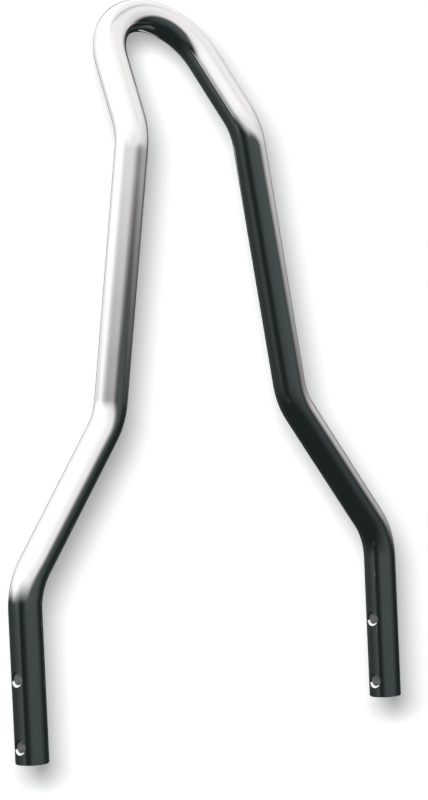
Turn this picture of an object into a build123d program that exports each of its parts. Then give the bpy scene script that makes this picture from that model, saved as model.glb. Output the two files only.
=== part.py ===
from build123d import *
import os
from math import acos, atan2, cos, degrees, hypot, radians, sin

# Sissy bar for the back of a motorbike seat: one length of solid round steel rod, cut square,
# bent cold to shape, cross drilled at both feet and then plated.
# Millimetres. X runs across the bike to the right, Y to the rear, Z up.
# The origin lies midway between the two feet, level with the middle of their bolt holes.

# Rod: 5/8 inch bar, every bend made at twice its diameter
rod_diameter = 15.875
bend_radius = 31.75    # centre line, in the feet, knees and necks
loop_radius = 31.75    # centre line, in the hairpin at the top
end_chamfer = 0.3

# Across the bike, from centre line to centre line
foot_spacing = 246.0   # between the upright feet
knee_spacing = 126.0   # where the flares run into the legs
neck_spacing = 78.0    # at the top of the legs, where the loop tips back

# Along the bar, from corner to corner of the centre line
foot_height = 82.3     # foot end up to the start of the flare
flare_height = 73.5    # rise of the flare
leg_height = 135.0     # rise of the leg above it
loop_length = 65.5     # up the slope, from the necks to the top of the hairpin
loop_lean = 30.0       # degrees, back from upright

# Bolt holes, drilled straight across both feet on two common lines
hole_diameter = 5.3    # clears an M5 or number 10 bolt
hole_spacing = 31.75
hole_end_distance = 8.25
hole_chamfer = 0.9     # countersink at each mouth

# Levels of the corners
foot_z = -hole_spacing / 2 - hole_end_distance
flare_z = foot_z + foot_height
knee_z = flare_z + flare_height
neck_z = knee_z + leg_height

# The loop lies on its own plane, which leans back from the line between the two necks.
# Its sides run in from the necks to touch the hairpin, which sets their taper.
lean = radians(loop_lean)
loop_plane = Plane(origin=(0, 0, neck_z), x_dir=(1, 0, 0), z_dir=(0, -cos(lean), sin(lean)))
hairpin_rise = loop_length - loop_radius
half_neck = neck_spacing / 2
taper = acos(loop_radius / hypot(half_neck, hairpin_rise)) - atan2(hairpin_rise, half_neck)
touch_x = loop_radius * cos(taper)
touch_rise = hairpin_rise + loop_radius * sin(taper)
touch_left = loop_plane.from_local_coords((-touch_x, touch_rise, 0))
touch_right = loop_plane.from_local_coords((touch_x, touch_rise, 0))
loop_top = loop_plane.from_local_coords((0, loop_length, 0))

with BuildPart() as bar:
    # Centre line: the left side from its foot up to the hairpin, the hairpin, and the right side down again
    with BuildLine() as centre_line:
        left_side = FilletPolyline(
            (-foot_spacing / 2, 0, foot_z),
            (-foot_spacing / 2, 0, flare_z),
            (-knee_spacing / 2, 0, knee_z),
            (-half_neck, 0, neck_z),
            touch_left,
            radius=bend_radius,
        )
        ThreePointArc(touch_left, loop_top, touch_right)
        mirror(left_side, about=Plane.YZ)

    # The rod's round section, carried along the centre line from the left foot, with its seam at the back
    with BuildSketch(Plane(origin=(-foot_spacing / 2, 0, foot_z), x_dir=(0, 1, 0), z_dir=(0, 0, 1))):
        Circle(rod_diameter / 2)
    sweep(path=centre_line.wire())

    # Both sawn ends have their sharp edge taken off
    foot_rims = bar.edges().group_by(Axis.Z)[0]
    chamfer(foot_rims, length=end_chamfer)

    # Two drill lines, one above the other, run through both feet
    with BuildSketch(Plane.YZ):
        with Locations((0, -hole_spacing / 2), (0, hole_spacing / 2)):
            Circle(hole_diameter / 2)
    extrude(amount=foot_spacing / 2 + rod_diameter, both=True, mode=Mode.SUBTRACT)

    # The drilled rims are countersunk on both faces of each foot
    hole_rims = bar.edges(Select.LAST).filter_by(GeomType.LINE, reverse=True)
    chamfer(hole_rims, length=hole_chamfer)

bar.part.label = "sissy_bar"
os.makedirs("parts", exist_ok=True)
export_step(bar.part, "parts/sissy_bar.step")

print("rod cut to", round(centre_line.wire().length, 1), "mm")
print("sides of the loop taper in by", round(degrees(taper), 2), "degrees")
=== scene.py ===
from math import acos, atan2, cos, hypot, pi, radians, sin, sqrt, tan

import bmesh
import bpy
import numpy as np
from mathutils import Matrix, Vector


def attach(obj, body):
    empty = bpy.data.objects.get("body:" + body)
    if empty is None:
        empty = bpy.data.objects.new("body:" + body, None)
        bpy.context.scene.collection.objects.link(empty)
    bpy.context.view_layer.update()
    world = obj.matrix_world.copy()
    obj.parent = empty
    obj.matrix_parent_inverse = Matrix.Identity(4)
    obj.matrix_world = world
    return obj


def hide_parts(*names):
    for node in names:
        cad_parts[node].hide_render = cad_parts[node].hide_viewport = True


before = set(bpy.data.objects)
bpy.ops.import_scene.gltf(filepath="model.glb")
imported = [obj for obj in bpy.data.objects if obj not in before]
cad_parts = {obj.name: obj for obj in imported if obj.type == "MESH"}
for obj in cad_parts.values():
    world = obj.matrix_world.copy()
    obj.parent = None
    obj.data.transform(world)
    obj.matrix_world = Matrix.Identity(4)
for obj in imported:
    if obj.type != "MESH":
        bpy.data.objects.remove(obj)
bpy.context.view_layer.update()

# Bent rod
# One length of 5/8 inch round steel bar, sawn square and bent cold over a former of one radius. It is
# drawn the way it is made, from the left foot up to the top of the loop, and mirrored for the right side.
mm = 0.001
rod_radius = 15.875 * mm / 2
bend_radius = 31.75 * mm
end_chamfer = 0.3 * mm
foot_half = 123.0 * mm
knee_half = 63.0 * mm
neck_half = 39.0 * mm
foot_z = -24.125 * mm
flare_z = foot_z + 82.3 * mm
knee_z = flare_z + 73.5 * mm
neck_z = knee_z + 135.0 * mm
loop_length = 65.5 * mm
loop_lean = radians(30)

sides_round = 96
foot_step = 0.55 * mm    # fine, for the rims of the holes
leg_step = 2.0 * mm
bend_step = radians(2)

up_slope = Vector((0, sin(loop_lean), cos(loop_lean)))
loop_face = Vector((0, -cos(loop_lean), sin(loop_lean)))
hairpin_rise = loop_length - bend_radius
hairpin_centre = Vector((0, 0, neck_z)) + up_slope * hairpin_rise
taper = acos(bend_radius / hypot(neck_half, hairpin_rise)) - atan2(hairpin_rise, neck_half)
foot = Vector((-foot_half, 0, foot_z))
flare = Vector((-foot_half, 0, flare_z))
knee = Vector((-knee_half, 0, knee_z))
neck = Vector((-neck_half, 0, neck_z))
touch = hairpin_centre + up_slope * bend_radius * sin(taper) - Vector((bend_radius * cos(taper), 0, 0))

rod = bmesh.new()
bar_place = rod.verts.layers.float_vector.new("bar_place")    # where each point lay on the straight bar


def only(kind, parts):
    """Picks the points or the edges out of what an operator made."""
    return [part for part in parts if isinstance(part, kind)]


def draw_on(ring, move, count, step):
    """Draws the rod on from its open ring in equal moves, and returns the new open ring."""
    for _ in range(count):
        grown = bmesh.ops.extrude_edge_only(rod, edges=ring)["geom"]
        points = only(bmesh.types.BMVert, grown)
        ring = only(bmesh.types.BMEdge, grown)
        bmesh.ops.transform(rod, matrix=move, verts=points)
        for point in points:
            point[bar_place].z += step
    return ring


def draw_straight(ring, run, step):
    """Draws a straight run, in equal moves of about one step."""
    count = max(1, round(run.length / step))
    return draw_on(ring, Matrix.Translation(run / count), count, run.length / count)


def draw_bend(ring, centre, axis, angle):
    """Draws one bend of the former's radius, in equal moves of about one bend step."""
    count = round(angle / bend_step)
    move = Matrix.Translation(centre) @ Matrix.Rotation(angle / count, 4, axis) @ Matrix.Translation(-centre)
    return draw_on(ring, move, count, bend_radius * angle / count)


sawn_radius = rod_radius - end_chamfer
sawn_end = bmesh.ops.create_circle(
    rod, cap_ends=True, segments=sides_round, radius=sawn_radius, matrix=Matrix.Translation(foot)
)
for point in sawn_end["verts"]:
    point[bar_place] = point.co - foot
sawn_faces = rod.faces[:]
broken_edge = Matrix.Translation(foot + Vector((0, 0, end_chamfer)))
broken_edge @= Matrix.Diagonal((rod_radius / sawn_radius, rod_radius / sawn_radius, 1, 1))
broken_edge @= Matrix.Translation(-foot)
ring = draw_on(rod.edges[:], broken_edge, 1, end_chamfer)

here = foot + Vector((0, 0, end_chamfer))
for before, corner, after, step in (
    (foot, flare, knee, foot_step),
    (flare, knee, neck, leg_step),
    (knee, neck, touch, leg_step),
):
    heading = (corner - before).normalized()
    new_heading = (after - corner).normalized()
    angle = heading.angle(new_heading)
    setback = bend_radius * tan(angle / 2)
    start = corner - heading * setback
    axis = heading.cross(new_heading).normalized()
    ring = draw_straight(ring, start - here, step)
    ring = draw_bend(ring, start + axis.cross(heading) * bend_radius, axis, angle)
    here = corner + new_heading * setback
ring = draw_straight(ring, touch - here, leg_step)
draw_bend(ring, hairpin_centre, -loop_face, pi / 2 - taper)

# Bolt holes
# Two holes are drilled straight across each foot before plating, and their rims broken with a countersink.
# The skin inside each mouth is taken away, its rim brought to a circle, and the two mouths bridged.
hole_radius = 2.65 * mm
hole_chamfer = 0.9 * mm
mouth_radius = hole_radius + hole_chamfer
rim_search = 2 * hole_radius
hole_levels = (-15.875 * mm, 15.875 * mm)
hole_walls = []


def by_mouth(middle, level, side, reach):
    """Tells whether a point of the foot is within reach of a hole's middle line, on one side."""
    return hypot(middle.y, middle.z - level) < reach and side * (middle.x - foot.x) > 0


def round_off(edges, level, side, radius, depth):
    """Brings a ring of edges to a circle about the hole, at a depth below the rod's skin."""
    for point in {point for edge in edges for point in edge.verts}:
        out = Vector((0, point.co.y, point.co.z - level)).normalized() * radius
        skin = sqrt(rod_radius ** 2 - out.y ** 2)
        point.co = foot.x + side * (skin - depth), out.y, level + out.z


for level in hole_levels:
    mouths = []
    for side in (-1, 1):
        drilled = [
            face for face in rod.faces if by_mouth(face.calc_center_median(), level, side, mouth_radius)
        ]
        bmesh.ops.delete(rod, geom=drilled, context="FACES")
        open_edges = [edge for edge in rod.edges if edge.is_boundary]
        rim = [
            edge for edge in open_edges
            if by_mouth((edge.verts[0].co + edge.verts[1].co) / 2, level, side, rim_search)
        ]
        round_off(rim, level, side, mouth_radius, 0)
        sunk = only(bmesh.types.BMEdge, bmesh.ops.extrude_edge_only(rod, edges=rim)["geom"])
        round_off(sunk, level, side, hole_radius, hole_chamfer)
        mouths += sunk
    hole_walls += bmesh.ops.bridge_loops(rod, edges=mouths)["faces"]

# The left half is mirrored for the right, and the two are joined at the top of the loop
plate_on_sawn_end = 1    # the finishes are counted in the order in which they are added below
film_in_holes = 2
join_gap = 0.001 * mm
same_point = 0.0001 * mm
sharp_edge = radians(30)
for face in sawn_faces:
    face.material_index = plate_on_sawn_end
for face in hole_walls:
    face.material_index = film_in_holes
bmesh.ops.mirror(rod, geom=rod.verts[:] + rod.edges[:] + rod.faces[:], axis="X", merge_dist=join_gap)
bmesh.ops.remove_doubles(rod, verts=rod.verts, dist=same_point)
bmesh.ops.recalc_face_normals(rod, faces=rod.faces)
for face in rod.faces:
    face.smooth = True


def make_mesh(name, drawn):
    """Turns a finished drawing into a mesh."""
    mesh = bpy.data.meshes.new(name)
    drawn.to_mesh(mesh)
    drawn.free()
    return mesh


def put_up(name, made):
    """Puts a mesh, a lens or a bulb into the scene as an object."""
    thing = bpy.data.objects.new(name, made)
    bpy.context.scene.collection.objects.link(thing)
    return thing


rod_mesh = make_mesh("bent_rod", rod)
rod_mesh.set_sharp_from_angle(angle=sharp_edge)
bent_rod = put_up("bent_rod", rod_mesh)
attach(bent_rod, "root")
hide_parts("sissy_bar")

# Chrome plate
# Bright decorative chrome over polished steel. It gives the eye clean mirror bands that wander a little,
# because the polished bar keeps a faint waviness, and a haze that comes and goes along the bar.
wave_length = 20 * mm
wave_height = 0.06 * mm
haze_length = 14 * mm
streak_width = 0.8 * mm
streak_length = 40 * mm
clearest = 0.02
haziest = 0.06


def linear(colour):
    """Turns an sRGB hex colour to linear light."""
    shades = [int(colour[at:at + 2], 16) / 255 for at in (1, 3, 5)]
    return [s / 12.92 if s <= 0.04045 else ((s + 0.055) / 1.055) ** 2.4 for s in shades] + [1.0]


def bare_tree(owner):
    """Clears the nodes of a new material, bulb or world, and returns its node tree."""
    owner.use_nodes = True
    owner.node_tree.nodes.clear()
    return owner.node_tree


def node(tree, kind, inputs, **settings):
    """Adds one node: each input takes a plain value or another node's output."""
    made = tree.nodes.new(kind)
    for name, value in settings.items():
        setattr(made, name, value)
    for socket, value in inputs.items():
        if isinstance(value, bpy.types.NodeSocket):
            tree.links.new(value, made.inputs[socket])
        else:
            made.inputs[socket].default_value = value
    return made


chrome = bpy.data.materials.new("chrome_plate")
tree = bare_tree(chrome)
place = node(tree, "ShaderNodeTexCoord", {})
on_bar = node(tree, "ShaderNodeAttribute", {}, attribute_name="bar_place")
waves = node(tree, "ShaderNodeTexNoise", {
    "Vector": place.outputs["Object"], "Scale": 1 / wave_length, "Detail": 0.0,
})
ripple = node(tree, "ShaderNodeBump", {
    "Height": waves.outputs["Fac"], "Strength": 1.0, "Distance": wave_height,
})
haze = node(tree, "ShaderNodeTexNoise", {
    "Vector": place.outputs["Object"], "Scale": 1 / haze_length, "Detail": 3.0,
})
drawn_out = node(tree, "ShaderNodeMapping", {
    "Vector": on_bar.outputs["Vector"], "Scale": (1 / streak_width, 1 / streak_width, 1 / streak_length),
})
streaks = node(tree, "ShaderNodeTexNoise", {
    "Vector": drawn_out.outputs["Vector"], "Scale": 1.0, "Detail": 2.0,
})
cloudy = node(tree, "ShaderNodeMath", {
    0: haze.outputs["Fac"], 1: streaks.outputs["Fac"],
}, operation="MULTIPLY")
gloss = node(tree, "ShaderNodeMapRange", {
    "Value": cloudy.outputs["Value"],
    "From Min": 0.1,
    "From Max": 0.45,
    "To Min": clearest,
    "To Max": haziest,
})
surface = node(tree, "ShaderNodeBsdfPrincipled", {
    "Base Color": linear("#E5E5E5"),
    "Metallic": 1.0,
    "Roughness": gloss.outputs["Result"],
    "Normal": ripple.outputs["Normal"],
})
node(tree, "ShaderNodeOutputMaterial", {"Surface": surface.outputs["BSDF"]})
rod_mesh.materials.append(chrome)

# Chrome over the sawn ends
# The ends are plated as the saw left them, so the plate is duller there and the saw's rings show through
# it. A saw's rings are finer than this: they are drawn about 3 mm apart, so that they show.
ring_spacing = 3.14 * mm
ring_depth = 0.01 * mm
rings_per_unit = 20 / (2 * pi)    # of the wave texture at a scale of 1
sawn_chrome = bpy.data.materials.new("chrome_on_sawn_end")
tree = bare_tree(sawn_chrome)
on_bar = node(tree, "ShaderNodeAttribute", {}, attribute_name="bar_place")
rings = node(tree, "ShaderNodeTexWave", {
    "Vector": on_bar.outputs["Vector"], "Scale": 1 / ring_spacing / rings_per_unit, "Distortion": 1.0,
}, wave_type="RINGS", rings_direction="Z")
grooves = node(tree, "ShaderNodeBump", {
    "Height": rings.outputs["Fac"], "Strength": 1.0, "Distance": ring_depth,
})
surface = node(tree, "ShaderNodeBsdfPrincipled", {
    "Base Color": linear("#D8DADA"),
    "Metallic": 1.0,
    "Roughness": 0.22,
    "Normal": grooves.outputs["Normal"],
})
node(tree, "ShaderNodeOutputMaterial", {"Surface": surface.outputs["BSDF"]})
rod_mesh.materials.append(sawn_chrome)

# Dull film inside the holes
# Hardly any chrome reaches into a drilled hole, so its wall is grey steel under a thin film. It gives the
# eye a dull wall with the marks of the drill running round it.
mark_width = 0.35 * mm
mark_length = 2.8 * mm
mark_depth = 0.012 * mm
dull_steel = bpy.data.materials.new("dull_steel_in_holes")
tree = bare_tree(dull_steel)
place = node(tree, "ShaderNodeTexCoord", {})
drilled_out = node(tree, "ShaderNodeMapping", {
    "Vector": place.outputs["Object"], "Scale": (1 / mark_width, 1 / mark_length, 1 / mark_length),
})
marks = node(tree, "ShaderNodeTexNoise", {
    "Vector": drilled_out.outputs["Vector"], "Scale": 1.0, "Detail": 2.0,
})
scored = node(tree, "ShaderNodeBump", {
    "Height": marks.outputs["Fac"], "Strength": 1.0, "Distance": mark_depth,
})
film = node(tree, "ShaderNodeValToRGB", {"Fac": marks.outputs["Fac"]})
for stop, position, shade in zip(film.color_ramp.elements, (0.3, 0.7), ("#8E9090", "#B8BABA")):
    stop.position = position
    stop.color = linear(shade)
surface = node(tree, "ShaderNodeBsdfPrincipled", {
    "Base Color": film.outputs["Color"],
    "Metallic": 0.6,
    "Roughness": 0.38,
    "Normal": scored.outputs["Normal"],
})
node(tree, "ShaderNodeOutputMaterial", {"Surface": surface.outputs["BSDF"]})
rod_mesh.materials.append(dull_steel)

# Camera
# A long lens nearly two metres off, in front and to the left of the bar. It is turned, tipped down and
# rolled as in the photo, and its aim is shifted right and down from a point on the bar's middle line.
camera_turn = radians(45.552)
camera_dip = radians(3.557)
camera_roll = radians(-2.543)
camera_distance = 1.9116
focal_length = 177.75
aim_height = 166.685 * mm
aim_right = 7.0126 * mm
aim_down = 30.677 * mm
ahead = Vector((
    sin(camera_turn) * cos(camera_dip),
    cos(camera_turn) * cos(camera_dip),
    -sin(camera_dip),
))
level_right = Vector((cos(camera_turn), -sin(camera_turn), 0))
level_up = level_right.cross(ahead)
right = level_right * cos(camera_roll) + level_up * sin(camera_roll)
up = level_up * cos(camera_roll) - level_right * sin(camera_roll)
aim = Vector((0, 0, aim_height)) + right * aim_right - up * aim_down
facing = Matrix((right, up, -ahead)).transposed().to_4x4()
lens = bpy.data.cameras.new("camera")
lens.lens = focal_length
camera = put_up("camera", lens)
camera.matrix_world = Matrix.Translation(aim - ahead * camera_distance) @ facing
bpy.context.scene.camera = camera

# Light tent
# White cloth stretched over hoops round the bar, with three dark cards hung round it and dark felt below.
# Only the chrome sees it: the camera, the lamps and the paper look straight through. Places on it are in
# degrees: the height above level, and the way round from the front, which is plus to the right.
tent_radius = 1.5
tent_glow = 1.28
tent_sides = 360    # one for each degree
tent = bmesh.new()
bmesh.ops.create_uvsphere(tent, u_segments=tent_sides, v_segments=tent_sides // 2, radius=tent_radius)
tent_mesh = make_mesh("light_tent", tent)
spots = np.array([point.co for point in tent_mesh.vertices]) / tent_radius
height = np.degrees(np.arcsin(np.clip(spots[:, 2], -1, 1)))
around = np.degrees(np.arctan2(spots[:, 0], -spots[:, 1]))


def fade(value, start, end):
    """Rises smoothly from 0 at the start to 1 at the end."""
    share = np.clip((value - start) / (end - start), 0, 1)
    return share * share * (3 - 2 * share)


def blend(first, second, share):
    """Goes from the first to the second by each spot's share."""
    return first + (np.asarray(second) - first) * share[:, None]


# Dark felt, and the three cards that hang in front of it and grow darker towards their lower edges
hung = fade(height, -44, 12)
left_card = fade(-around, 78, 96) * (1 - 0.65 * fade(-around, 86, 146))
front_card = fade(around, -70, -32) * fade(-around, -68, -18)
back_card = fade(around, 92, 97)
front_card_head = fade(height, 4, 12)
dark = np.tile(linear("#1D2323"), (len(spots), 1))
for card, shade in (
    (hung * left_card, "#4E5454"),
    (hung * front_card, "#495050"),
    (front_card_head * front_card, "#4E4D4D"),
    (hung * back_card, "#474D4D"),
):
    dark = blend(dark, linear(shade), card)

# White cloth, stretch by stretch round from the back: where each starts, how soft its side is, the heights
# at which it begins to show above the cards and shows in full, and its shades there and at the top
crown_height = 48
back_stretch = [1, 4] + linear("#DBD8D8") + linear("#FFFFFF")
cloth = np.tile(back_stretch, (len(spots), 1))
for start, softness, first_shows, all_shows, skirt, crown in (
    (-168, 7, 3, 18.5, "#FEFEFE", "#FFFFFF"),
    (-105, 26, 5, 38, "#FFFFFF", "#FFFFFF"),
    (-48, 30, 4.5, 25, "#E0DEDE", "#FFFEFE"),
    (-25, 13, 9.5, 26, "#E9E6E6", "#F7F4F4"),
    (37, 30, -3.5, 17.5, "#D4D1D1", "#EDEAEA"),
    (121, 28, 2, 6, "#DBD8D8", "#FFFFFF"),
):
    stretch = [first_shows, all_shows] + linear(skirt) + linear(crown)
    cloth = blend(cloth, stretch, fade(around, start - softness, start + softness))
hem_low = cloth[:, 0]
hem_high = cloth[:, 1]
white = blend(cloth[:, 2:6], cloth[:, 6:], fade(height, hem_high, crown_height))
light = blend(dark, white, fade(height, hem_low, hem_high))

# Seams of the cloth, which run up the tent, and two folds where the felt catches some light: where each
# lies, its half width, the heights of its ends and its shade
seam_softness = 6
for seam, half_width, low_end, high_end, shade in (
    (24, 31, 37, 63, "#E6E3E3"),
    (78, 13, 50, 81, "#C5C2C2"),
    (94, 10, -1, 32, "#989595"),
    (78, 34, -62, -21, "#565C5C"),
    (-76, 12, -37, -36, "#6A7070"),
):
    above_low = fade(height, low_end - seam_softness, low_end + seam_softness)
    below_high = fade(-height, -high_end - seam_softness, -high_end + seam_softness)
    across = fade(-abs(around - seam), -half_width, 0)
    light = blend(light, linear(shade), above_low * below_high * across)

# The way in at the back, opposite the camera, which leaves a thin dark edge on both sides of the bar. It
# is round, with two bulges: which way each lies from its middle, its half width and how far it stands out
way_in_radius = 28.0
way_in = np.array(ahead)
off_way_in = np.degrees(np.arccos(np.clip(spots @ way_in, -1, 1)))
beside_way_in = spots @ -np.array(level_right)
above_way_in = spots[:, 2] - way_in[2]
bearing = np.degrees(np.arctan2(above_way_in, beside_way_in))
way_in_reach = np.full(len(spots), way_in_radius)
for bulge, half_width, stands_out in ((75, 26, 9), (140, 35, 3)):
    way_in_reach += stands_out * fade(-abs(bearing - bulge), -half_width, 0)
light = blend(light, linear("#202222"), fade(way_in_reach - off_way_in, -4, 3))

# A sheet of white card that lies below the way in, for the back of the bar
sheet_across = fade(around, 120, 126) * fade(-around, -150, -144)
sheet_upright = fade(height, -23, -20) * fade(-height, 10, 13)
light = blend(light, linear("#C8CACA"), sheet_across * sheet_upright)
tent_mesh.attributes.new("light", "FLOAT_COLOR", "POINT").data.foreach_set("color", light.ravel())

light_tent = put_up("light_tent", tent_mesh)
light_tent.visible_camera = False
light_tent.visible_diffuse = False
light_tent.visible_shadow = False
tent_cloth = bpy.data.materials.new("tent_cloth")
tree = bare_tree(tent_cloth)
tent_light = node(tree, "ShaderNodeAttribute", {}, attribute_name="light")
lit = node(tree, "ShaderNodeEmission", {"Color": tent_light.outputs["Color"], "Strength": tent_glow})
node(tree, "ShaderNodeOutputMaterial", {"Surface": lit.outputs["Emission"]})
tent_mesh.materials.append(tent_cloth)

# Paper sweep
# A roll of white paper hung close behind the bar, which bends round below it and runs out under its feet.
# It takes the soft shadow. From behind it is clear, so that it doesn't hide the bar.
paper_gap = 130 * mm
paper_drop = 65 * mm
paper_reach = 2.5
cove_radius = 30 * mm
cove_steps = 24
floor_z = foot_z - paper_drop
floor_back = paper_gap - cove_radius
paper = bmesh.new()
bmesh.ops.create_grid(
    paper, x_segments=1, y_segments=1, size=1,
    matrix=Matrix.Translation((0, (floor_back - paper_reach) / 2, floor_z))
    @ Matrix.Diagonal((paper_reach, (floor_back + paper_reach) / 2, 1, 1)),
)
back_edge = [edge for edge in paper.edges if all(point.co.y > 0 for point in edge.verts)]
cove = bmesh.ops.spin(
    paper, geom=back_edge, cent=(0, floor_back, floor_z + cove_radius), axis=(1, 0, 0),
    angle=pi / 2, steps=cove_steps, use_merge=False, use_duplicate=False,
)
top_edge = only(bmesh.types.BMEdge, cove["geom_last"])
hanging = bmesh.ops.extrude_edge_only(paper, edges=top_edge)["geom"]
bmesh.ops.translate(paper, verts=only(bmesh.types.BMVert, hanging), vec=(0, 0, paper_reach))
bmesh.ops.recalc_face_normals(paper, faces=paper.faces)
paper.faces.ensure_lookup_table()
if paper.faces[0].normal.z < 0:
    bmesh.ops.reverse_faces(paper, faces=paper.faces)
for face in paper.faces:
    face.smooth = True
paper_mesh = make_mesh("paper_sweep", paper)
paper_sweep = put_up("paper_sweep", paper_mesh)
paper_sweep.visible_diffuse = False
paper_sweep.visible_glossy = False
paper_sweep.visible_shadow = False

# Matt white paper gives the eye a plain page. To the camera alone it glows a little, so that the page comes
# out white though the lamps are low
page_glow = 0.19
white_paper = bpy.data.materials.new("white_paper")
tree = bare_tree(white_paper)
ray = node(tree, "ShaderNodeLightPath", {})
which_side = node(tree, "ShaderNodeNewGeometry", {})
matt = node(tree, "ShaderNodeBsdfDiffuse", {"Color": linear("#F4F5F5")})
own_light = node(tree, "ShaderNodeEmission", {"Color": linear("#F8FFFD"), "Strength": page_glow})
clear = node(tree, "ShaderNodeBsdfTransparent", {})
to_camera = node(tree, "ShaderNodeMixShader", {
    "Fac": ray.outputs["Is Camera Ray"], 2: own_light.outputs["Emission"],
})
page = node(tree, "ShaderNodeAddShader", {0: matt.outputs["BSDF"], 1: to_camera.outputs["Shader"]})
one_sided = node(tree, "ShaderNodeMixShader", {
    "Fac": which_side.outputs["Backfacing"], 1: page.outputs["Shader"], 2: clear.outputs["BSDF"],
})
node(tree, "ShaderNodeOutputMaterial", {"Surface": one_sided.outputs["Shader"]})
paper_mesh.materials.append(white_paper)

# Lamps and room light
# A soft lamp beside and above the lens throws the shadow on the hanging paper, down and to the right of the
# bar, as strong near as far. One overhead throws a shadow on the floor. The chrome doesn't see the lamps.
lamp_left = 52 * mm
lamp_above = 93 * mm
lamp_tint = linear("#FFFCFD")[:3]
lens_bulb = bpy.data.lights.new("lens_lamp", "POINT")
lens_bulb.energy = 42.4
lens_bulb.color = lamp_tint
lens_bulb.shadow_soft_size = 91 * mm
tree = bare_tree(lens_bulb)
even = node(tree, "ShaderNodeLightFalloff", {"Strength": 1.0})
glow = node(tree, "ShaderNodeEmission", {"Strength": even.outputs["Constant"]})
node(tree, "ShaderNodeOutputLight", {"Surface": glow.outputs["Emission"]})
lens_lamp = put_up("lens_lamp", lens_bulb)
lens_lamp.location = camera.location - right * lamp_left + up * lamp_above
lens_lamp.visible_glossy = False

overhead_from = Vector((-0.25, 0.2, 1.0))
overhead_sun = bpy.data.lights.new("overhead", "SUN")
overhead_sun.energy = 2.0
overhead_sun.color = lamp_tint
overhead_sun.angle = radians(20)
overhead = put_up("overhead", overhead_sun)
overhead.location = 2 * overhead_from
overhead.rotation_euler = overhead_from.to_track_quat("Z", "Y").to_euler()
overhead.visible_glossy = False

# The room is white to the camera, in mirrors and through glass, and lights the paper only a little
room_fill = 0.22
world = bpy.data.worlds.new("room")
bpy.context.scene.world = world
tree = bare_tree(world)
ray = node(tree, "ShaderNodeLightPath", {})
seen_or_mirrored = node(tree, "ShaderNodeMath", {
    0: ray.outputs["Is Camera Ray"], 1: ray.outputs["Is Glossy Ray"],
}, operation="MAXIMUM")
shown = node(tree, "ShaderNodeMath", {
    0: seen_or_mirrored.outputs["Value"], 1: ray.outputs["Is Transmission Ray"],
}, operation="MAXIMUM")
strength = node(tree, "ShaderNodeMapRange", {
    "Value": shown.outputs["Value"], "To Min": room_fill, "To Max": 1.0,
})
room = node(tree, "ShaderNodeBackground", {
    "Color": linear("#FFFFFF"), "Strength": strength.outputs["Result"],
})
node(tree, "ShaderNodeOutputWorld", {"Surface": room.outputs["Background"]})

bpy.context.scene.view_settings.view_transform = "Standard"
